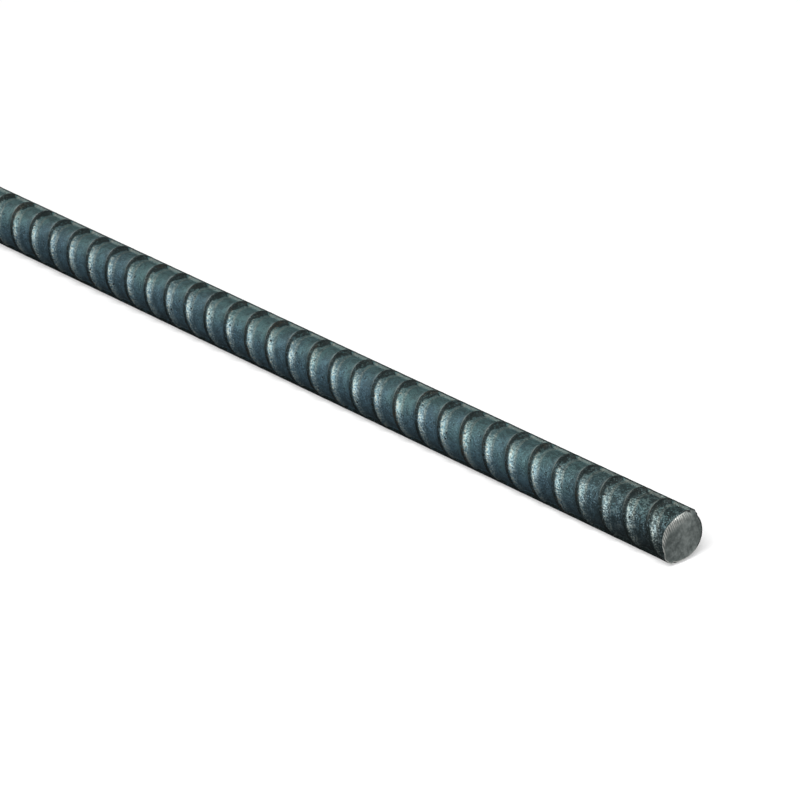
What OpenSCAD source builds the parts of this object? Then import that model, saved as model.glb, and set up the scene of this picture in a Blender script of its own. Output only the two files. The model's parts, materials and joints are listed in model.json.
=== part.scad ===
// Deformed steel reinforcing bar: one rolled length with two longitudinal ribs
// and both ends cut in a shear. Millimetres. The bar lies along X on a level
// floor, with the origin on its axis at mid-length.

/* [Bar] */
// Length of the bar along its axis
bar_len = 609.6; // [150:0.1:6000]
// Mean diameter of the round core between the ribs
core_d = 12.3; // [8:0.1:24]
// Distance between the centres of the two rolls' grooves, which each shape half of the core
groove_gap = 0.4; // [0:0.1:0.6]

/* [Longitudinal ribs] */
// Diameter across the tips of the two longitudinal ribs
over_ribs_d = 14.3; // [9.5:0.1:28]
// Width of a rib between its flanks, measured at the tip
rib_tip_w = 1.2; // [1:0.1:2]
// Draft of a rib's flanks, which lets the bar leave the rolls
rib_draft = 25; // [15:1:35]
// Radius that rounds the edges of a rib's tip
rib_edge_r = 0.3; // [0.1:0.05:0.4]
// Radius of the fillet where a rib runs into the core
rib_fillet_r = 0.6; // [0.3:0.1:1]

/* [Sheared ends] */
// Angle by which the bar lay off square to the shear blades
cut_skew = 3.8; // [0:0.1:6]
// Depth of the blade's bevel on the side that it entered, measured across the end
bevel_depth = 1.4; // [0.8:0.1:2.5]
// Slope of that bevel away from the cut
bevel_slope = 20; // [10:1:35]

/* [Hidden] */
$fn = 96;

core_r = core_d / 2;
tip_r = over_ribs_d / 2;

// Half of the core that one roll shapes, to the right of the ribs' plane
groove_centre = [groove_gap / 2, 0];
groove_r = core_r - groove_gap / 4;

// Rib section, drawn with the rib standing along +Y. The flank starts at the
// corner of the tip and runs down and outwards along flank_dir.
tip_corner = [rib_tip_w / 2, tip_r];
flank_dir = [sin(rib_draft), -cos(rib_draft)];
flank_out = [cos(rib_draft), sin(rib_draft)];

// Arc that rounds the tip's edge, touching the tip and the flank
edge_inset = rib_edge_r * (1 - sin(rib_draft)) / cos(rib_draft);
edge_centre = tip_corner - [edge_inset, rib_edge_r];
edge_on_tip = edge_centre + [0, rib_edge_r];
edge_on_flank = edge_centre + rib_edge_r * flank_out;

// Arc of the fillet, touching the flank and the core from outside. Its start is
// measured from the groove's centre.
fillet_start = tip_corner + rib_fillet_r * flank_out - groove_centre;
fillet_reach = groove_r + rib_fillet_r;
start_along = fillet_start * flank_dir;
fillet_drop = -start_along
    - sqrt(start_along * start_along - fillet_start * fillet_start + fillet_reach * fillet_reach);
fillet_to_groove = fillet_start + fillet_drop * flank_dir;
fillet_centre = groove_centre + fillet_to_groove;
fillet_on_flank = tip_corner + fillet_drop * flank_dir;
fillet_on_core = groove_centre + fillet_to_groove * groove_r / fillet_reach;
rib_root = [rib_tip_w / 2, core_r / 2];

// The bar has rolled over until its lower rib's edge and its core both touch
// the floor, so the ribs lean this far from upright.
edge_to_groove = edge_centre - groove_centre;
rib_lean = atan2(edge_to_groove.x, edge_to_groove.y)
    + acos((groove_r - rib_edge_r) / norm(edge_to_groove));

// A cutter is larger than the bar's section in every direction.
cutter = 4 * over_ribs_d;
rough_len = bar_len + 2 * over_ribs_d;

// The right half of a rib's outline before rounding, from its tip into the core
rib_side = [tip_corner, fillet_on_flank, fillet_on_core, rib_root];
// Corner that the tip's rounding takes off, past the arc
edge_corner = [edge_centre, edge_on_tip, 2 * tip_corner - edge_centre, edge_on_flank];

// Points of a section on the other side of its centre plane
function flipped(points) = [for (i = [len(points) - 1 : -1 : 0]) [-points[i].x, points[i].y]];

// What is hollowed and rounded off the right half of a rib
module rib_relief() {
    translate(fillet_centre) circle(r = rib_fillet_r);
    difference() {
        polygon(edge_corner);
        translate(edge_centre) circle(r = rib_edge_r);
    }
}

module rib_outline() {
    difference() {
        polygon(concat(rib_side, flipped(rib_side)));
        rib_relief();
        mirror([1, 0]) rib_relief();
    }
}

// The bar as it leaves the rolls, along +Z: a groove's half and a rib on each side
module rolled_length(length) {
    for (turn = [0, 180])
        rotate(turn - rib_lean) {
            translate(groove_centre) cylinder(r = groove_r, h = length);
            linear_extrude(length) rib_outline();
        }
}

// What the shear takes off one end, with the cut through the origin and the
// blade coming down from +Z: all that lies past the cut, and the bevel.
module shear_cut() {
    translate([0, -cutter / 2, -cutter / 2]) cube(cutter);
    translate([0, 0, core_r - bevel_depth])
        rotate([0, -bevel_slope, 0])
            translate([0, -cutter / 2, -cutter / 8]) cube(cutter);
}

module bar() {
    color("slategray")
    difference() {
        translate([-rough_len / 2, 0, 0])
            rotate([90, 0, 90]) rolled_length(rough_len);
        for (turn = [0, 180])
            rotate([0, turn, 0])
                translate([bar_len / 2, 0, 0])
                    rotate([0, 0, (turn == 0 ? -1 : 1) * cut_skew]) shear_cut();
    }
}

bar();
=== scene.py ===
"""One length of hot-rolled ribbed reinforcing bar, and the studio that it is shown in.

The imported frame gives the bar's length, its rolled section and the place of its two cuts. The
transverse ribs, the torn metal of the cut ends and the finish are made here. Sizes are in metres.
"""

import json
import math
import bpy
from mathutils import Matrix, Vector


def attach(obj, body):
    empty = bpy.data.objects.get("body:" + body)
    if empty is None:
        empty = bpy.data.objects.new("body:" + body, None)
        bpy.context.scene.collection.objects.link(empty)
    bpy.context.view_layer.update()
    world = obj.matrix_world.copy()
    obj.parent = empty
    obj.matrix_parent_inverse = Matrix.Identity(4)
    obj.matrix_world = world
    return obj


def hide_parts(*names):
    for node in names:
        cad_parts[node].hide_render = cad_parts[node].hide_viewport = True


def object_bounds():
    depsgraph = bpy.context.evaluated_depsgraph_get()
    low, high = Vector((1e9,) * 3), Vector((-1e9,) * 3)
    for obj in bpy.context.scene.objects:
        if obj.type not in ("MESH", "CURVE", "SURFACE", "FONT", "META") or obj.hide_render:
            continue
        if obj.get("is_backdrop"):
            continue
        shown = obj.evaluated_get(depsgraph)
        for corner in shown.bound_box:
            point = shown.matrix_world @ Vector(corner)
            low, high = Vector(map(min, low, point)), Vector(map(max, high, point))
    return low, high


bl_info = {
    "name": "Reinforcing Bar",
    "version": (1, 0, 0),
    "blender": (4, 5, 0),
    "location": "3D View > Sidebar > Reinforcing Bar",
    "description": "Builds a length of ribbed reinforcing bar with sheared ends, and a plain studio",
    "category": "Add Mesh",
}

import bpy
import numpy as np
from bpy.props import FloatProperty, FloatVectorProperty, PointerProperty
from mathutils import Matrix, Vector

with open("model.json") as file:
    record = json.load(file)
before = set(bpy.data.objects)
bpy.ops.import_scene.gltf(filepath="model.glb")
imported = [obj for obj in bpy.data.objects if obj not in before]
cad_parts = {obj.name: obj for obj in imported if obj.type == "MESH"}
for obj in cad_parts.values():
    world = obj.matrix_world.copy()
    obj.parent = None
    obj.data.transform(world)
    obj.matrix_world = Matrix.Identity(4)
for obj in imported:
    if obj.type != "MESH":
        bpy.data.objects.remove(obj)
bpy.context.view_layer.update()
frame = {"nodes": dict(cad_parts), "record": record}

MM = 0.001
BAR_NODE = "bar"
BAKE_MAP = "OFBake"

# Shares of the largest radius: points past the first are on a longitudinal rib's tip, and points
# further than the second from those ribs' plane are on the core.
TIP_SHARE = 0.998
CORE_SHARE = 0.5


def mount(name):
    """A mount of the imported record, by name."""
    return next(entry for entry in frame["record"]["mounts"] if entry["name"] == name)


def measured_section():
    """Reads the rolled section off the CAD bar, whose points all lie on its outline."""
    points = np.array([vertex.co for vertex in frame["nodes"][BAR_NODE].data.vertices])
    radii = np.hypot(points[:, 1], points[:, 2])
    upper_tip = points[(radii > TIP_SHARE * radii.max()) & (points[:, 2] > 0)].mean(axis=0)
    lean = math.atan2(upper_tip[1], upper_tip[2])
    along_ribs = points[:, 1] * math.sin(lean) + points[:, 2] * math.cos(lean)
    off_ribs = np.abs(points[:, 2] * math.sin(lean) - points[:, 1] * math.cos(lean))
    # Each roll's groove is an arc: along² + off² = 2 offset off + (radius² - offset²).
    core = off_ribs > CORE_SHARE * radii.max()
    terms = np.column_stack([2 * off_ribs[core], np.ones(core.sum())])
    squares = along_ribs[core] ** 2 + off_ribs[core] ** 2
    offset, remainder = np.linalg.lstsq(terms, squares, rcond=None)[0]
    return {
        "lean": lean,
        "tip_radius": float(along_ribs.max()),
        "groove_offset": float(offset),
        "groove_radius": math.sqrt(remainder + offset**2),
    }


NEAR_CUT = mount("near_end_face")
BAR_LENGTH = NEAR_CUT["pos_m"][0] - mount("far_end_face")["pos_m"][0]
CUT_SKEW = math.atan2(-NEAR_CUT["axis"][1], NEAR_CUT["axis"][0])
SECTION = measured_section()


class RolledRelief(bpy.types.PropertyGroup):
    """Ribs that the rolls leave on the bar"""

    pitch: FloatProperty(
        name="Rib pitch",
        description="Distance between neighbouring transverse ribs, along the bar",
        default=8.75 * MM,
        unit="LENGTH",
    )
    height: FloatProperty(
        name="Rib height",
        description="How far a transverse rib stands above the core",
        default=0.92 * MM,
        unit="LENGTH",
    )
    crest_width: FloatProperty(
        name="Crest width",
        description="Width of a transverse rib's flat crest",
        default=1.0 * MM,
        unit="LENGTH",
    )
    flank_width: FloatProperty(
        name="Flank width",
        description="Width of each sloping flank of a transverse rib, along the bar",
        default=1.8 * MM,
        unit="LENGTH",
    )
    slant: FloatProperty(
        name="Rib slant",
        description="How far each end of a transverse rib lies from its middle, along the bar",
        default=2.8 * MM,
        unit="LENGTH",
    )
    bow: FloatProperty(
        name="Rib bow",
        description="How far a transverse rib's middle bends away from the near end",
        default=0.17 * MM,
        unit="LENGTH",
    )
    first_rib: FloatProperty(
        name="First rib",
        description="Distance of the first transverse rib's middle line from the near end",
        default=4.98 * MM,
        unit="LENGTH",
    )
    back_first_rib: FloatProperty(
        name="First rib at the back",
        description="As first rib, on the half that the other roll shapes",
        default=4.0 * MM,
        unit="LENGTH",
    )
    tip_width: FloatProperty(
        name="Longitudinal rib width",
        description="Width of a longitudinal rib's tip",
        default=1.2 * MM,
        unit="LENGTH",
    )
    tip_draft: FloatProperty(
        name="Longitudinal rib draft",
        description="Slope of a longitudinal rib's flanks",
        default=math.radians(25),
        subtype="ANGLE",
    )
    waviness: FloatProperty(
        name="Waviness",
        description="Depth of the uneven surface that hot rolling leaves",
        default=0.05 * MM,
        unit="LENGTH",
    )


class ShearedEnds(bpy.types.PropertyGroup):
    """What the shear does to the bar's ends"""

    bevel_depth: FloatProperty(
        name="Bevel depth",
        description="How far down the end the blade's bevel reaches",
        default=1.4 * MM,
        unit="LENGTH",
    )
    bevel_slope: FloatProperty(
        name="Bevel slope",
        description="Slope of the bevel on the side that the blade entered",
        default=math.radians(20),
        subtype="ANGLE",
    )
    tear_depth: FloatProperty(
        name="Tear depth",
        description="Height of the lumps on the torn part of the end",
        default=0.2 * MM,
        unit="LENGTH",
    )
    burr: FloatProperty(
        name="Burr",
        description="Lip that is left on the side where the blade came out",
        default=0.12 * MM,
        unit="LENGTH",
    )


class SteelFinish(bpy.types.PropertyGroup):
    """Colours of the steel's surface"""

    scale: FloatVectorProperty(
        name="Mill scale",
        description="Blue-grey scale on the core",
        default=(0.079, 0.147, 0.19),
        subtype="COLOR",
    )
    scale_teal: FloatVectorProperty(
        name="Mill scale, greener",
        description="Colour of the scale's greener patches",
        default=(0.08, 0.153, 0.156),
        subtype="COLOR",
    )
    # Also the colour of the painted highlights on the flanks.
    worn_and_highlight: FloatVectorProperty(
        name="Worn flank",
        description="Bright steel on the flanks of the ribs",
        default=(0.184, 0.206, 0.184),
        subtype="COLOR",
    )
    # Also the colour of painted shade on the ribs, the longitudinal ribs and near the ends.
    crest: FloatVectorProperty(
        name="Rib crest",
        description="Dark scale on the crests of the ribs",
        default=(0.02, 0.03, 0.03),
        subtype="COLOR",
    )
    rust: FloatVectorProperty(
        name="Rust",
        description="Faint rust beside the crests",
        default=(0.11, 0.08, 0.05),
        subtype="COLOR",
    )
    # Also the colour of painted shade on the ends' far rim and at a nick.
    pit: FloatVectorProperty(
        name="Pits",
        description="Black bottom of the small pits",
        default=(0.006, 0.006, 0.007),
        subtype="COLOR",
    )
    cut: FloatVectorProperty(
        name="Cut steel",
        description="Bare steel of the sheared ends",
        default=(0.212, 0.238, 0.23),
        subtype="COLOR",
    )
    torn: FloatVectorProperty(
        name="Torn steel",
        description="Darker patches where the ends tore",
        default=(0.096, 0.114, 0.11),
        subtype="COLOR",
    )
    scored: FloatVectorProperty(
        name="Scored steel",
        description="Bright scores and rim of the ends",
        default=(0.66, 0.67, 0.63),
        subtype="COLOR",
    )


class PlainStudio(bpy.types.PropertyGroup):
    """Floor and light of the studio"""

    floor: FloatVectorProperty(
        name="Floor",
        description="Colour of the pale floor",
        default=(0.4, 0.4, 0.4),
        subtype="COLOR",
    )
    key_power: FloatProperty(
        name="Key light",
        description="Power of the lamp beside the camera",
        default=63.0,
        unit="POWER",
    )
    fill_power: FloatProperty(
        name="Fill lights",
        description="Power of each lamp that lights the other sides",
        default=7.0,
        unit="POWER",
    )
    sky: FloatProperty(
        name="Sky",
        description="Strength of the even light from all round",
        default=0.07,
    )
    glow: FloatProperty(
        name="Floor glow",
        description="How bright the floor shows where no lamp reaches it",
        default=0.42,
    )


class Field:
    """A node's socket that can stand in a formula. Each operation adds its Math node."""

    def __init__(self, tree, socket):
        self.tree = tree
        self.socket = socket

    def math(self, operation, *others):
        node = self.tree.nodes.new("ShaderNodeMath")
        node.operation = operation
        for socket, value in zip(node.inputs, (self, *others)):
            connect(self.tree, value, socket)
        return Field(self.tree, node.outputs[0])

    def __add__(self, other):
        return self.math("ADD", other)

    def __sub__(self, other):
        return self.math("SUBTRACT", other)

    def __mul__(self, other):
        return self.math("MULTIPLY", other)

    def __truediv__(self, other):
        return self.math("DIVIDE", other)

    def __pow__(self, other):
        return self.math("POWER", other)

    def __neg__(self):
        return self.math("MULTIPLY", -1.0)

    def __abs__(self):
        return self.math("ABSOLUTE")

    def ramp(self, low, high):
        """A smooth step from 0 at low to 1 at high. It falls where low is the larger."""
        limits = {"Value": self, "From Min": low, "From Max": high}
        return field(self.tree, "ShaderNodeMapRange", limits, interpolation_type="SMOOTHSTEP")


def connect(tree, value, socket):
    """Feeds a socket from a field, from another socket, or with a plain value."""
    if isinstance(value, Field):
        value = value.socket
    if isinstance(value, bpy.types.NodeSocket):
        tree.links.new(value, socket)
    else:
        socket.default_value = value


def add_node(tree, kind, inputs=None, **options):
    """Adds a node, sets its options and feeds its inputs by name or number."""
    node = tree.nodes.new(kind)
    for name, value in options.items():
        setattr(node, name, value)
    for name, value in (inputs or {}).items():
        connect(tree, value, node.inputs[name])
    return node


def field(tree, kind, inputs=None, output=0, **options):
    """Adds a node and gives one of its outputs as a field."""
    return Field(tree, add_node(tree, kind, inputs, **options).outputs[output])


def split(tree, vector):
    """The x, y and z of a vector socket, as fields."""
    node = add_node(tree, "ShaderNodeSeparateXYZ", {"Vector": vector})
    return [Field(tree, output) for output in node.outputs]


def joined(tree, x, y, z):
    """A vector made of three fields."""
    return field(tree, "ShaderNodeCombineXYZ", {"X": x, "Y": y, "Z": z})


def noise(tree, vector, scale, detail=2.0, roughness=0.5):
    """Noise from -1 to 1, with about as many lumps to the metre as its scale."""
    inputs = {"Vector": vector, "Scale": scale, "Detail": detail, "Roughness": roughness}
    return field(tree, "ShaderNodeTexNoise", inputs) * 2.0 - 1.0


def mixed(tree, share, first, second):
    """The first colour, turning into the second as share goes from 0 to 1."""
    inputs = {"Factor": share, 6: first, 7: second}
    return field(tree, "ShaderNodeMix", inputs, output=2, data_type="RGBA")


def opaque(colour):
    """A colour property as the four numbers that a colour socket takes."""
    return (*colour, 1.0)


def new_tree(name, kind, inputs, outputs):
    """A node tree with named sockets. Gives the tree, its inputs as fields and its output node."""
    tree = bpy.data.node_groups.new(name, kind)
    for label, socket_type in inputs.items():
        tree.interface.new_socket(label, in_out="INPUT", socket_type=socket_type)
    for label, socket_type in outputs.items():
        tree.interface.new_socket(label, in_out="OUTPUT", socket_type=socket_type)
    entry = tree.nodes.new("NodeGroupInput")
    given = {label: Field(tree, entry.outputs[label]) for label in inputs}
    return tree, given, tree.nodes.new("NodeGroupOutput")


# Rows and columns of the bar's mesh. Rows crowd at the transverse ribs, and columns at the
# longitudinal ones.
ROWS_PER_RIB = 15
COLUMNS = 86
CAP_ROWS = 14
ROW_CROWDING = 0.6
COLUMN_CROWDING = -0.35
CAP_CROWDING = 1.4
MERGE_DISTANCE = 0.004 * MM
CREASE_ANGLE = math.radians(38)

# Radii that round a longitudinal rib's tip, its foot and the corner where a transverse rib meets
# it. The least cosine keeps the line of its tip within reach.
TIP_BLEND = 0.35 * MM
FOOT_BLEND = 0.6 * MM
RIB_BLEND = 0.5 * MM
LEAST_COSINE = 0.05

# Sine of the angle from the longitudinal ribs within which one roll's ribs pass into the other's
ROLL_SEAM = 0.2

# Size of the waves that rolling leaves, and what they do to the radius and to the ribs' height,
# which changes by this share for each metre
WAVE_SIZE = 5.0 * MM
WAVE_ON_RADIUS = 0.5
WAVE_ON_RIBS = 1200.0

# Size of the torn ends' lumps, the band inside the rim over which they set in, as shares of the
# radius, and the cosine at which the burr starts
TEAR_SIZE = 2.6 * MM
TEAR_START = (0.02, 0.14)
BURR_START = 0.6

# Metal that the shear squeezes into the corner beside a longitudinal rib: its span from the cut,
# the cosines between which it rises round the bar, and its height as a share of that rib's. The
# start and the height are given for the back and for the front.
SQUEEZED_SPAN = (3.0 * MM, 0.8 * MM)
SQUEEZED_START = (-0.95, -0.87)
SQUEEZED_FULL = -0.985
SQUEEZED_HEIGHT = (0.6, 0.9)

# The bar's skin is laid out for baking as strips that lie one above another, with the two ends
# above them. The ends' centres are set by the inset, the spacing and the drop from the top.
STRIPS = 4
STRIP_HEIGHT = 0.22
STRIP_MARGIN = 0.008
CAP_SPAN = 0.1
CAP_INSET = 0.6 * CAP_SPAN
CAP_SPACING = 1.2 * CAP_SPAN
CAP_DROP = 0.56 * CAP_SPAN
CAP_THRESHOLD = 0.001

BAR_INPUTS = {
    "Length": "NodeSocketFloat",
    "Groove Radius": "NodeSocketFloat",
    "Groove Offset": "NodeSocketFloat",
    "Tip Radius": "NodeSocketFloat",
    "Tip Width": "NodeSocketFloat",
    "Tip Draft": "NodeSocketFloat",
    "Lean": "NodeSocketFloat",
    "Rib Pitch": "NodeSocketFloat",
    "Rib Height": "NodeSocketFloat",
    "Crest Width": "NodeSocketFloat",
    "Flank Width": "NodeSocketFloat",
    "Rib Slant": "NodeSocketFloat",
    "Rib Bow": "NodeSocketFloat",
    "First Rib": "NodeSocketFloat",
    "Back First Rib": "NodeSocketFloat",
    "Waviness": "NodeSocketFloat",
    "Cut Skew": "NodeSocketFloat",
    "Bevel Depth": "NodeSocketFloat",
    "Bevel Slope": "NodeSocketFloat",
    "Tear Depth": "NodeSocketFloat",
    "Burr": "NodeSocketFloat",
    "Skin": "NodeSocketMaterial",
    "Cut": "NodeSocketMaterial",
}


def either(share, first, second):
    """The first value, turning into the second as share goes from 0 to 1."""
    return share * (second - first) + first


def on_face(tree, value):
    """One value for each whole face."""
    return field(tree, "GeometryNodeFieldOnDomain", {0: value}, data_type="FLOAT", domain="FACE")


def rib_height(distance, given):
    """Height of a transverse rib at a distance from its middle line, and how far up its flank it is."""
    half_crest = given["Crest Width"] * 0.5
    climb = (half_crest + given["Flank Width"] - distance) / given["Flank Width"]
    climb = climb.math("MINIMUM", 1.0)
    # Hollow at the foot and crisp at the crest's edge
    risen = climb.math("MAXIMUM", 0.0)
    share = risen * risen * (-risen + 2.0)
    return share * given["Rib Height"], climb


def ribbed_bar_tree(rib_count):
    """Builds the tree of the bar's skin: a grid wrapped round the axis and closed at both cuts."""
    tree, given, result = new_tree(
        "Ribbed bar", "GeometryNodeTree", BAR_INPUTS, {"Geometry": "NodeSocketGeometry"}
    )
    side_rows = ROWS_PER_RIB * rib_count
    rows = side_rows + 2 * CAP_ROWS
    grid_size = {"Size X": rows, "Size Y": COLUMNS, "Vertices X": rows + 1, "Vertices Y": COLUMNS + 1}
    grid = add_node(tree, "GeometryNodeMeshGrid", grid_size)
    place = split(tree, tree.nodes.new("GeometryNodeInputPosition").outputs[0])
    row = (place[0] + rows / 2).math("ROUND")
    column = (place[1] + COLUMNS / 2).math("ROUND")

    # Angle round the axis, from the upper longitudinal rib towards the side that faces the camera
    even_turn = column * (2 * math.pi / COLUMNS)
    turn = even_turn + (even_turn * 2.0).math("SINE") * COLUMN_CROWDING
    off_ribs = abs(turn.math("SINE"))
    along_ribs = turn.math("COSINE")
    start = along_ribs * turn.math("SINE").math("SIGN")
    heading = given["Lean"] - turn
    across = heading.math("SINE")
    upward = heading.math("COSINE")

    # Rolled section: the core that the two grooves shape, and the longitudinal ribs
    core = given["Groove Radius"] + given["Groove Offset"] * off_ribs
    draft = given["Tip Draft"].math("TANGENT")
    tip = given["Tip Radius"] / abs(along_ribs).math("MAXIMUM", LEAST_COSINE)
    flank = given["Tip Width"] * 0.5 + given["Tip Radius"] * draft
    flank = flank / (off_ribs + abs(along_ribs) * draft)
    long_rib = tip.math("SMOOTH_MIN", flank, TIP_BLEND)
    section = core.math("SMOOTH_MAX", long_rib, FOOT_BLEND)
    long_height = given["Tip Radius"] - given["Groove Radius"]
    ridge = (section - core) / long_height

    # How far each row is from the outermost cap ring, and how many rib pitches lie before it
    cap_depth = (-row + CAP_ROWS).math("MAXIMUM", row - (CAP_ROWS + side_rows))
    cap_depth = cap_depth.math("MAXIMUM", 0.0) / CAP_ROWS
    reach = -(cap_depth**CAP_CROWDING) + 1.0
    pitches = ((row - CAP_ROWS) / ROWS_PER_RIB).math("MAXIMUM", 0.0)
    pitches = pitches.math("MINIMUM", float(rib_count))
    crowded = pitches - (pitches * (2 * math.pi)).math("SINE") * (ROW_CROWDING / (2 * math.pi))

    # Middle line of the rib that would stand one pitch past the near end. The two rolls' ribs don't
    # quite meet.
    half = given["Length"] * 0.5
    front = turn.math("SINE").ramp(-ROLL_SEAM, ROLL_SEAM)
    first = either(front, given["Back First Rib"], given["First Rib"])
    rib_line = half - first + given["Rib Pitch"]
    rib_line = rib_line - given["Rib Slant"] * along_ribs - given["Rib Bow"] * off_ribs

    skew = given["Cut Skew"].math("TANGENT")
    bevel = given["Bevel Slope"].math("TANGENT")
    bevel_start = core - given["Bevel Depth"]

    def between_cuts(x, y, z, inner):
        """Holds x between the two cuts. Inner is 0 on the rim and the skin, and 1 well inside a cap."""
        lumps = noise(tree, joined(tree, 0.0, y, z), 1 / TEAR_SIZE, 1.0)
        tear = lumps * given["Tear Depth"] * inner
        near_bevel = (z - bevel_start).math("MAXIMUM", 0.0) * bevel
        far_bevel = (-z - bevel_start).math("MAXIMUM", 0.0) * bevel
        lip = given["Burr"] * (-inner + 1.0)
        near_lip = (-upward).ramp(BURR_START, 1.0) * lip
        far_lip = upward.ramp(BURR_START, 1.0) * lip
        near = half + y * skew - near_bevel + near_lip + tear
        far = y * skew - half + far_bevel - far_lip + tear
        return x.math("MINIMUM", near).math("MAXIMUM", far)

    inner = (-reach + 1.0).ramp(*TEAR_START)
    row_x = rib_line - given["Rib Pitch"] * crowded
    skin_x = between_cuts(row_x, section * across, section * upward, inner)

    # Transverse ribs stand on the core and run into the longitudinal ones
    phase = (rib_line - skin_x) / given["Rib Pitch"]
    offset = phase - phase.math("ROUND")
    rise, climb = rib_height(abs(offset) * given["Rib Pitch"], given)
    spot = joined(tree, skin_x, section * across, section * upward)
    uneven = noise(tree, spot, 1 / WAVE_SIZE, 3.0, 0.6) * given["Waviness"]
    # The shear squeezes metal into the corner beside a longitudinal rib where transverse ribs end.
    cut_distance = half - abs(skin_x - section * across * skew)
    squeezed = cut_distance.ramp(*SQUEEZED_SPAN)
    squeezed = squeezed * start.ramp(either(front, *SQUEEZED_START), SQUEEZED_FULL)
    squeezed = squeezed * long_height * either(front, *SQUEEZED_HEIGHT)
    rise = (rise * (uneven * WAVE_ON_RIBS + 1.0)).math("MAXIMUM", squeezed)
    radius = (core + rise).math("SMOOTH_MAX", long_rib, RIB_BLEND) + uneven * WAVE_ON_RADIUS
    y = radius * reach * across
    z = radius * reach * upward
    x = between_cuts(row_x, y, z, inner)

    # All that is kept on the mesh is worked out on the flat grid, before its points move.
    skin = grid
    kept = {
        "climb": climb,
        "start": start,
        "ahead": -offset,
        "ridge": ridge,
        "reach": reach,
        "cut": cap_depth,
    }
    for name, value in kept.items():
        named = {0: skin.outputs[0], "Name": name, "Value": value}
        skin = add_node(tree, "GeometryNodeStoreNamedAttribute", named, data_type="FLOAT", domain="POINT")
    kept_depth = field(tree, "GeometryNodeInputNamedAttribute", {"Name": "cut"}, data_type="FLOAT")
    on_cap = on_face(tree, kept_depth).math("GREATER_THAN", CAP_THRESHOLD)
    chart = bake_chart(tree, pitches / rib_count, crowded / rib_count, turn, row, (y, z), on_cap)
    stored = {0: skin.outputs[0], "Name": BAKE_MAP, "Value": chart}
    skin = add_node(tree, "GeometryNodeStoreNamedAttribute", stored, data_type="FLOAT2", domain="CORNER")

    wrapped = add_node(tree, "GeometryNodeSetPosition", {0: skin.outputs[0], 2: joined(tree, x, y, z)})
    merged = add_node(tree, "GeometryNodeMergeByDistance", {0: wrapped.outputs[0], 2: MERGE_DISTANCE})
    smooth = add_node(tree, "GeometryNodeSetShadeSmooth", {0: merged.outputs[0], 2: True}, domain="FACE")
    angle = field(tree, "GeometryNodeInputMeshEdgeAngle")
    soft = angle.math("LESS_THAN", CREASE_ANGLE)
    smooth = add_node(tree, "GeometryNodeSetShadeSmooth", {0: smooth.outputs[0], 2: soft}, domain="EDGE")
    whole = add_node(tree, "GeometryNodeRealizeInstances", {0: smooth.outputs[0]})
    skinned = add_node(tree, "GeometryNodeSetMaterial", {0: whole.outputs[0], 2: given["Skin"]})
    cut = {0: skinned.outputs[0], 1: on_cap, 2: given["Cut"]}
    capped = add_node(tree, "GeometryNodeSetMaterial", cut)
    connect(tree, capped.outputs[0], result.inputs[0])
    return tree


def bake_chart(tree, share, even_share, turn, row, cap_place, on_cap):
    """Place of each corner in the bake map: the skin in strips, and each end as a disc above them."""
    strip = (on_face(tree, share) * STRIPS).math("FLOOR").math("MINIMUM", STRIPS - 1.0)
    kept = 1 - 2 * STRIP_MARGIN
    strip_u = (even_share * STRIPS - strip) * kept + STRIP_MARGIN
    strip_v = (strip + turn * (kept / (2 * math.pi)) + STRIP_MARGIN) * STRIP_HEIGHT
    near = row.math("LESS_THAN", CAP_ROWS + 1.0)
    cap_scale = 0.5 * CAP_SPAN / SECTION["tip_radius"]
    cap_u = cap_place[0] * cap_scale + near * CAP_SPACING + CAP_INSET
    cap_v = cap_place[1] * cap_scale + (1 - CAP_DROP)
    return joined(tree, either(on_cap, strip_u, cap_u), either(on_cap, strip_v, cap_v), 0.0)


# Grain of the skin and of the cut ends, and the depth and strength of their bump
SKIN_GRAIN = 0.45 * MM
SKIN_RELIEF = 0.13 * MM
SKIN_BUMP = 0.8
CUT_GRAIN = 0.6 * MM
CUT_RELIEF = 0.1 * MM
CUT_BUMP = 0.6
CUT_METALLIC = 0.4

# Length at each end over which the scale is rubbed and marked, and over which painted shade darkens the
# half of each rib towards its end, the lower half on the front
HANDLED_LENGTH = 60 * MM

# The blade's path across an end, as y and z, and the scores that it leaves there
BLADE_PATH = (0.31, -0.95)
SCORED_DEPTH = 3.0 * MM
SCORED_WANDER = 0.4 * MM
SCORE_SPACING = 0.6 * MM
SCORE_WANDER = 4.0

# Dark skin that the blade draws over the rim: how far it reaches, how fast that falls off across
# the path, and the softness and raggedness of its edge
DRAWN_DEPTH = 0.45 * MM
DRAWN_FALL = 3.3
DRAWN_EDGE = 0.08 * MM
DRAWN_RAGGED = 0.1 * MM

# Bright band along the rim
RIM_BAND = (0.35 * MM, 0.1 * MM)


def object_place(tree):
    """The place of a point in the object's own frame."""
    return add_node(tree, "ShaderNodeTexCoord").outputs["Object"]


def attribute(tree, name):
    """A value that the bar's tree has left on its mesh."""
    return field(tree, "ShaderNodeAttribute", output="Fac", attribute_name=name)


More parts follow.
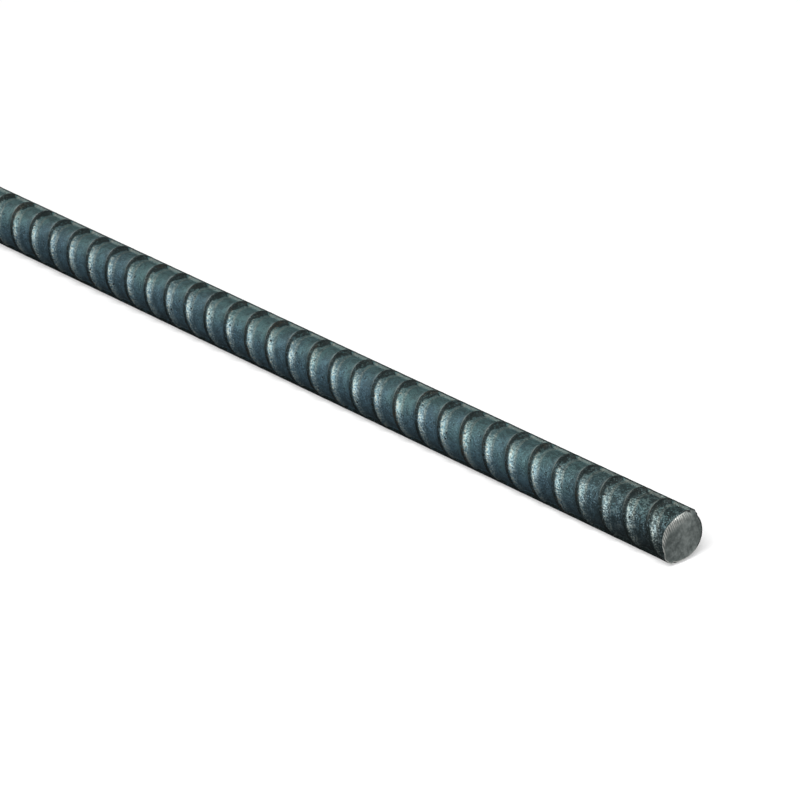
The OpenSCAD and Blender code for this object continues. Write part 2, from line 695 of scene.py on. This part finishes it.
def rolled_grain_group():
    """Shader group for the marks on all the steel: fine grain, specks, mottle, patches and pits."""
    inputs = {"Vector": "NodeSocketVector", "Grain": "NodeSocketFloat"}
    outputs = {name: "NodeSocketFloat" for name in ("Fine", "Specks", "Mottle", "Patches", "Pits")}
    tree, given, result = new_tree("Rolled grain", "ShaderNodeTree", inputs, outputs)
    # Mottle is 4 grains wide, patches 25, specks about 1 and pits 2.5.
    scale = given["Grain"] ** -1.0
    fine = noise(tree, given["Vector"], scale)
    mottle = noise(tree, given["Vector"], scale * 0.25)
    patches = noise(tree, given["Vector"], scale * 0.04, 3.0, 0.6)
    dots = add_node(tree, "ShaderNodeTexVoronoi", {"Vector": given["Vector"], "Scale": scale * 0.9})
    specks = Field(tree, dots.outputs["Distance"]).ramp(0.5, 0.25)
    specks = specks * (split(tree, dots.outputs["Color"])[0].ramp(0.2, 0.8) * 2.0 - 1.0)
    cell = add_node(tree, "ShaderNodeTexVoronoi", {"Vector": given["Vector"], "Scale": scale * 0.4})
    hole = -Field(tree, cell.outputs["Distance"]).ramp(0.1, 0.3) + 1.0
    chosen = split(tree, cell.outputs["Color"])[0].ramp(0.55, 0.95)
    for value, name in zip((fine, specks, mottle, patches, hole * chosen), outputs):
        connect(tree, value, result.inputs[name])
    return tree


def grain_in(tree, group, grain):
    """Places the grain group in a material. Gives its outputs as fields."""
    node = add_node(tree, "ShaderNodeGroup", node_tree=group)
    connect(tree, object_place(tree), node.inputs["Vector"])
    connect(tree, grain, node.inputs["Grain"])
    return [Field(tree, output) for output in node.outputs]


def new_material(name):
    """A material with its Principled shader and nothing else."""
    material = bpy.data.materials.new(name)
    material.use_nodes = True
    tree = material.node_tree
    return material, tree, tree.nodes["Principled BSDF"]


def raised(tree, height, depth, strength):
    """Bump from a height between about -1 and 1, with the given real depth."""
    inputs = {"Height": height, "Distance": depth, "Strength": strength}
    return field(tree, "ShaderNodeBump", inputs)


def mill_scale_material(finish, group):
    """Hot-rolled skin: blue-grey scale on the core, dark on the crests, bright on the flanks. The bright
    flanks are partly wear and partly painted highlight, and part of the darkening on the ribs and near
    the ends is painted shade.
    """
    material, tree, shader = new_material("mill scale steel")
    fine, specks, mottle, patches, pits = grain_in(tree, group, SKIN_GRAIN)
    grain = fine * 0.7 + specks * 0.5
    climb = attribute(tree, "climb") + fine * 0.2
    ridge = attribute(tree, "ridge")
    rail = ridge.ramp(0.1, 0.4)
    start = attribute(tree, "start")
    ahead = attribute(tree, "ahead").ramp(-0.03, 0.03)
    x = split(tree, object_place(tree))[0]
    handled_and_shaded = abs(x).ramp(BAR_LENGTH / 2 - HANDLED_LENGTH, BAR_LENGTH / 2)

    # Crests are dark scale, and so are the tips of the longitudinal ribs. Whole ribs are darkened where
    # they start beside a longitudinal rib, and only their crests further on; that darkening of whole ribs
    # is painted shade, as is the dark half of each longitudinal rib on the side where the ribs end.
    early = (start + mottle * 0.3).ramp(0.45, 0.85)
    near_crest = (climb + early * (-rail + 1.0) * 0.6).ramp(0.8, 1.0)
    dark_scale_and_shade = either(ahead, climb.ramp(0.9, 1.0), near_crest)
    dark_scale_and_shade = dark_scale_and_shade.math("MAXIMUM", ridge.ramp(0.7, 0.9))
    # Painted shade on the half of each longitudinal rib beside the ribs' ends.
    dark_scale_and_shade = dark_scale_and_shade.math("MAXIMUM", rail * start.ramp(0.2, -0.2))
    rubbed = handled_and_shaded * (grain + mottle).ramp(0.1, 0.5)
    dark_scale_and_shade = dark_scale_and_shade * (rubbed * -0.5 + 1.0)

    # Flanks that face the near end are brightened in grains, most beside the crests, and in a streak
    # along their feet. The brightening is partly wear in grains and partly painted highlight: the band
    # beside the crests, the streak along the feet and the bright edge of the far flanks next to their
    # crests.
    face = climb.ramp(-0.2, 0.3) * 0.4 + climb.ramp(0.4, 0.8) * 0.62
    # Painted highlight in a streak along the foot of each flank.
    foot = climb.ramp(-0.4, -0.1) * climb.ramp(0.35, 0.0) * start.ramp(-0.6, 0.2)
    speckle = (grain + mottle * 0.4).ramp(-0.26, 0.3)
    flank = face * (-early + 1.0) * speckle * (handled_and_shaded * -0.5 + 1.0)
    flank = flank + foot * (speckle * 0.45 + 0.15)
    # Painted highlight on the far flanks next to their crests, on the half where the ribs start.
    behind = climb.ramp(0.5, 0.8) * start.ramp(-0.3, 0.3) * 0.6
    worn_and_highlight = either(ahead, behind, flank) + rail * climb.ramp(0.6, 0.3) * 0.45
    worn_and_highlight = worn_and_highlight * (-dark_scale_and_shade + 1.0) + rubbed * 0.35
    rusty = (patches + fine).ramp(0.1, 0.7) * climb.ramp(0.5, 0.9) * 0.4

    greener = (start + patches * 1.5).ramp(-0.6, 0.9)
    scale = mixed(tree, greener, opaque(finish.scale), opaque(finish.scale_teal))
    dark = grain + mottle * 0.7 + patches * 0.5 - handled_and_shaded * 0.14
    dark = dark.ramp(0.25, -0.25) * (handled_and_shaded * 0.46 + 0.5)
    # Painted shade: near the ends, the half of each rib towards its end, the lower half on the front, is
    # darkened.
    dark = dark.math("MAXIMUM", handled_and_shaded * start.ramp(0.1, -0.7) * 0.8)
    scale = mixed(tree, dark, scale, opaque(finish.crest))
    crest = mixed(tree, (grain + mottle).ramp(0.1, 0.7) * 0.5, opaque(finish.crest), scale)
    colour = mixed(tree, worn_and_highlight, scale, opaque(finish.worn_and_highlight))
    colour = mixed(tree, dark_scale_and_shade, colour, crest)
    colour = mixed(tree, rusty, colour, opaque(finish.rust))
    colour = mixed(tree, pits * 0.9, colour, opaque(finish.pit))
    connect(tree, colour, shader.inputs["Base Color"])
    connect(tree, dark_scale_and_shade * 0.1 + worn_and_highlight * -0.04 + fine * 0.1 + 0.5, shader.inputs["Roughness"])
    connect(tree, dark_scale_and_shade * 0.2 + worn_and_highlight * -0.05 + 0.75, shader.inputs["Metallic"])
    height = fine * 0.7 + specks * 0.4 - pits * 2.0
    connect(tree, raised(tree, height, SKIN_RELIEF, SKIN_BUMP), shader.inputs["Normal"])
    return material


def sheared_material(finish, group):
    """Bare steel of the ends: scored by the blade beside the rim that it entered, torn below, with
    painted shade along the far rim and at a nick.
    """
    material, tree, shader = new_material("sheared steel")
    fine, specks, mottle, patches, pits = grain_in(tree, group, CUT_GRAIN)
    reach = attribute(tree, "reach")
    x, y, z = split(tree, object_place(tree))
    z = z * x.math("SIGN")

    # Place across and along the blade's path, from -1 to 1, and the rim where the blade came in
    radius = SECTION["groove_radius"]
    across = (y * -BLADE_PATH[1] + z * BLADE_PATH[0]) / radius
    along = (y * BLADE_PATH[0] + z * BLADE_PATH[1]) / radius
    entry = (-(across * across) + 1.0).math("MAXIMUM", 0.0).math("SQRT")
    # The blade draws the dark skin over the rim, most in the middle of its path.
    drawn = (across * across * -DRAWN_FALL + 1.0).math("MAXIMUM", 0.0) * DRAWN_DEPTH
    bare = (along + entry) * radius - (drawn + fine * DRAWN_RAGGED)
    skin = bare.ramp(DRAWN_EDGE, -DRAWN_EDGE) * across.ramp(0.58, 0.5)
    depth = bare + mottle * SCORED_WANDER

    # Bright scores run in from that rim. At one side a dark spot of painted shade stands for a nick.
    scored = depth.ramp(SCORED_DEPTH, 0.1 * SCORED_DEPTH) * across.ramp(0.9, 0.0)
    uneven = noise(tree, joined(tree, across, along * 0.1, 0.0), 0.5 * radius / SCORE_SPACING, 1.0)
    streaks = across * (2 * math.pi * radius / SCORE_SPACING) + uneven * SCORE_WANDER
    streaks = streaks.math("SINE")
    bright = (streaks.ramp(-0.1, 0.9) + 0.15) * scored
    nick_shade = depth.ramp(0.2 * MM, -0.3 * MM) * across.ramp(0.62, 0.68) * across.ramp(0.8, 0.74)
    rim = reach.ramp(0.95, 0.99).math("MAXIMUM", bare.ramp(*RIM_BAND))
    rim = rim * (fine * 0.8 + 0.8) * across.ramp(0.6, 0.4)

    # Torn steel below is smeared along the blade's path, and the far side's edge is darkened with painted
    # shade.
    smear = noise(tree, joined(tree, across, along * 0.2, 0.0), radius / SCORE_SPACING)
    torn = mottle * 0.8 + patches * 0.6 + smear * 0.45 + fine * 0.2 + specks * 0.15
    torn = (torn + across.ramp(0.7, 0.85) * 0.4).ramp(-0.45, 0.45)
    colour = mixed(tree, torn, opaque(finish.cut), opaque(finish.torn))
    colour = mixed(tree, pits * 0.4, colour, opaque(finish.pit))
    colour = mixed(tree, bright.math("MAXIMUM", rim * 0.8), colour, opaque(finish.scored))
    dark_skin = mixed(tree, 0.7, opaque(finish.scale_teal), opaque(finish.crest))
    colour = mixed(tree, skin, colour, dark_skin)
    # Painted shade along the far side's rim, and at the nick.
    edge = reach.ramp(0.93, 0.985) * across.ramp(0.2, 0.55)
    colour = mixed(tree, nick_shade.math("MAXIMUM", edge) * 0.9, colour, opaque(finish.pit))
    connect(tree, colour, shader.inputs["Base Color"])
    connect(tree, bright * -0.12 + fine * 0.08 + 0.5, shader.inputs["Roughness"])
    shader.inputs["Metallic"].default_value = CUT_METALLIC
    height = fine * 0.4 + mottle + streaks * scored
    connect(tree, raised(tree, height, CUT_RELIEF, CUT_BUMP), shader.inputs["Normal"])
    return material


class REBAR_OT_bar(bpy.types.Operator):
    """Builds the bar in place of its CAD node"""

    bl_idname = "rebar.bar"
    bl_label = "Reinforcing Bar"

    def execute(self, context):
        scene = context.scene
        relief = scene.rebar_relief
        ends = scene.rebar_ends
        finish = scene.rebar_finish
        group = rolled_grain_group()
        values = {
            "Length": BAR_LENGTH,
            "Groove Radius": SECTION["groove_radius"],
            "Groove Offset": SECTION["groove_offset"],
            "Tip Radius": SECTION["tip_radius"],
            "Tip Width": relief.tip_width,
            "Tip Draft": relief.tip_draft,
            "Lean": SECTION["lean"],
            "Rib Pitch": relief.pitch,
            "Rib Height": relief.height,
            "Crest Width": relief.crest_width,
            "Flank Width": relief.flank_width,
            "Rib Slant": relief.slant,
            "Rib Bow": relief.bow,
            "First Rib": relief.first_rib,
            "Back First Rib": relief.back_first_rib,
            "Waviness": relief.waviness,
            "Cut Skew": CUT_SKEW,
            "Bevel Depth": ends.bevel_depth,
            "Bevel Slope": ends.bevel_slope,
            "Tear Depth": ends.tear_depth,
            "Burr": ends.burr,
            "Skin": mill_scale_material(finish, group),
            "Cut": sheared_material(finish, group),
        }
        # The slanted ribs start before the near end and run past the far one, in whole strips of the
        # bake map.
        covered = BAR_LENGTH + relief.pitch + 2 * relief.slant
        rib_count = STRIPS * math.ceil(covered / relief.pitch / STRIPS)
        tree = ribbed_bar_tree(rib_count)
        bar = bpy.data.objects.new("reinforcing_bar", bpy.data.meshes.new("unbuilt bar"))
        scene.collection.objects.link(bar)
        modifier = bar.modifiers.new("Ribbed bar", "NODES")
        modifier.node_group = tree
        for item in tree.interface.items_tree:
            if item.in_out == "INPUT":
                modifier[item.identifier] = values[item.name]
        built = bar.evaluated_get(context.evaluated_depsgraph_get())
        mesh = bpy.data.meshes.new_from_object(built)
        bar.modifiers.remove(modifier)
        bar.data = mesh
        if not mesh.polygons:
            raise RuntimeError("the bar's tree gave no faces")
        # Realising instances leaves an empty slot in front of the two materials.
        mesh.materials.pop(index=0)
        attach(bar, "root")
        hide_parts(BAR_NODE)
        return {"FINISHED"}


# The photograph's view, fitted with the longitudinal ribs leaning by PHOTO_LEAN. Pixels are those
# of its 800 square.
PHOTO_SIZE = 800
PHOTO_AZIMUTH = math.radians(50.55)
PHOTO_ELEVATION = math.radians(22.78)
PHOTO_LEAN = math.radians(30)
PHOTO_FOCAL = 5181
NEAR_END_PIXEL = (682.1, 536.4)
NEAR_END_DISTANCE = 1.244
SENSOR_WIDTH = 36.0
CAMERA_REACH = 100

# The key lamp turns with the photograph's view. The fills are given by name, heading, size and
# share of the fill power.
KEY_HEADING = (0.42, -0.61, 0.68)
KEY_DISTANCE = 1.6
KEY_SIZE = 1.2
FILL_DISTANCE = 1.8
FILLS = (
    ("back fill", (0.3, 0.95, 0.2), 0.7, 3.0),
    ("side fill", (-0.75, -0.4, 0.75), 1.2, 1.0),
    ("far fill", (-1.0, 0.2, 0.2), 0.7, 0.8),
)

# Width of the floor, and the share of its colour in the light that it throws back
FLOOR_SIZE = 12
FLOOR_BOUNCE = 0.09


def photo_turn():
    """Turns the photograph's view about the bar's axis, to the lean at which the bar is stored."""
    return Matrix.Rotation(PHOTO_LEAN - SECTION["lean"], 3, "X")


def add_camera(scene):
    """Camera at the photograph's view of the bar's near end."""
    sine = math.sin(PHOTO_AZIMUTH)
    cosine = math.cos(PHOTO_AZIMUTH)
    flat = math.cos(PHOTO_ELEVATION)
    right = photo_turn() @ Vector((cosine, sine, 0))
    back = photo_turn() @ Vector((sine * flat, -cosine * flat, math.sin(PHOTO_ELEVATION)))
    up = back.cross(right)
    aside = (NEAR_END_PIXEL[0] - PHOTO_SIZE / 2) / PHOTO_FOCAL
    above = (PHOTO_SIZE / 2 - NEAR_END_PIXEL[1]) / PHOTO_FOCAL
    near_end = Vector((BAR_LENGTH / 2, 0, 0))
    data = bpy.data.cameras.new("camera")
    data.sensor_width = SENSOR_WIDTH
    data.lens = PHOTO_FOCAL * SENSOR_WIDTH / PHOTO_SIZE
    data.clip_end = CAMERA_REACH
    camera = bpy.data.objects.new("camera", data)
    camera.location = near_end - NEAR_END_DISTANCE * (aside * right + above * up - back)
    camera.rotation_euler = Matrix((right, up, back)).transposed().to_euler()
    scene.collection.objects.link(camera)
    scene.camera = camera


def add_softbox(scene, name, heading, distance, size, power, target):
    """Square lamp that faces the target from the given heading."""
    data = bpy.data.lights.new(name, "AREA")
    data.size = size
    data.energy = power
    lamp = bpy.data.objects.new(name, data)
    lamp.location = target + heading.normalized() * distance
    lamp.rotation_euler = heading.to_track_quat("Z", "Y").to_euler()
    scene.collection.objects.link(lamp)


def floor_material(colour, glow):
    """Pale all over to the camera, and dark in the light that it throws back on the bar's underside."""
    material, tree, shader = new_material("studio floor")
    shader.inputs["Base Color"].default_value = opaque(colour)
    shader.inputs["Roughness"].default_value = 0.9
    shader.inputs["Specular IOR Level"].default_value = 0.0
    shader.inputs["Emission Color"].default_value = (1, 1, 1, 1)
    shader.inputs["Emission Strength"].default_value = glow
    seen = field(tree, "ShaderNodeLightPath", output="Is Camera Ray")
    bounced = opaque([FLOOR_BOUNCE * channel for channel in colour])
    dark = add_node(tree, "ShaderNodeBsdfDiffuse", {"Color": bounced})
    surface = add_node(tree, "ShaderNodeMixShader", {0: seen, 1: dark.outputs[0], 2: shader.outputs[0]})
    connect(tree, surface.outputs[0], tree.nodes["Material Output"].inputs["Surface"])
    return material


class REBAR_OT_studio(bpy.types.Operator):
    """Builds the floor, the lights and the camera"""

    bl_idname = "rebar.studio"
    bl_label = "Studio"

    def execute(self, context):
        scene = context.scene
        studio = scene.rebar_studio
        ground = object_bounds()[0].z
        bpy.ops.mesh.primitive_plane_add(size=FLOOR_SIZE, location=(0, 0, ground))
        floor = context.object
        floor.name = "floor"
        floor.data.materials.append(floor_material(studio.floor, studio.glow))
        floor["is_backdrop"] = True

        shown = Vector((BAR_LENGTH / 3, 0, 0))
        key = photo_turn() @ Vector(KEY_HEADING)
        add_softbox(scene, "key", key, KEY_DISTANCE, KEY_SIZE, studio.key_power, shown)
        for name, heading, size, share in FILLS:
            power = share * studio.fill_power
            add_softbox(scene, name, Vector(heading), FILL_DISTANCE, size, power, Vector())

        world = bpy.data.worlds.new("studio sky")
        world.use_nodes = True
        sky = world.node_tree.nodes["Background"]
        sky.inputs["Color"].default_value = (1, 1, 1, 1)
        sky.inputs["Strength"].default_value = studio.sky
        scene.world = world
        scene.view_settings.view_transform = "Standard"
        add_camera(scene)
        return {"FINISHED"}


class REBAR_PT_panel(bpy.types.Panel):
    """Lists the bar's settings and operators"""

    bl_idname = "REBAR_PT_panel"
    bl_label = "Reinforcing Bar"
    bl_space_type = "VIEW_3D"
    bl_region_type = "UI"
    bl_category = "Reinforcing Bar"

    def draw(self, context):
        for name, group in SETTINGS.items():
            box = self.layout.box()
            settings = getattr(context.scene, name)
            for label in group.__annotations__:
                box.prop(settings, label)
        for operator in OPERATORS:
            self.layout.operator(operator.bl_idname)


SETTINGS = {
    "rebar_relief": RolledRelief,
    "rebar_ends": ShearedEnds,
    "rebar_finish": SteelFinish,
    "rebar_studio": PlainStudio,
}
OPERATORS = (REBAR_OT_bar, REBAR_OT_studio)
CLASSES = (*SETTINGS.values(), *OPERATORS, REBAR_PT_panel)


def register():
    for cls in CLASSES:
        bpy.utils.register_class(cls)
    for name, group in SETTINGS.items():
        setattr(bpy.types.Scene, name, PointerProperty(type=group))


def unregister():
    for name in SETTINGS:
        delattr(bpy.types.Scene, name)
    for cls in reversed(CLASSES):
        bpy.utils.unregister_class(cls)


def main():
    register()
    bpy.ops.rebar.bar()
    bpy.ops.rebar.studio()


if __name__ == "__main__":
    main()
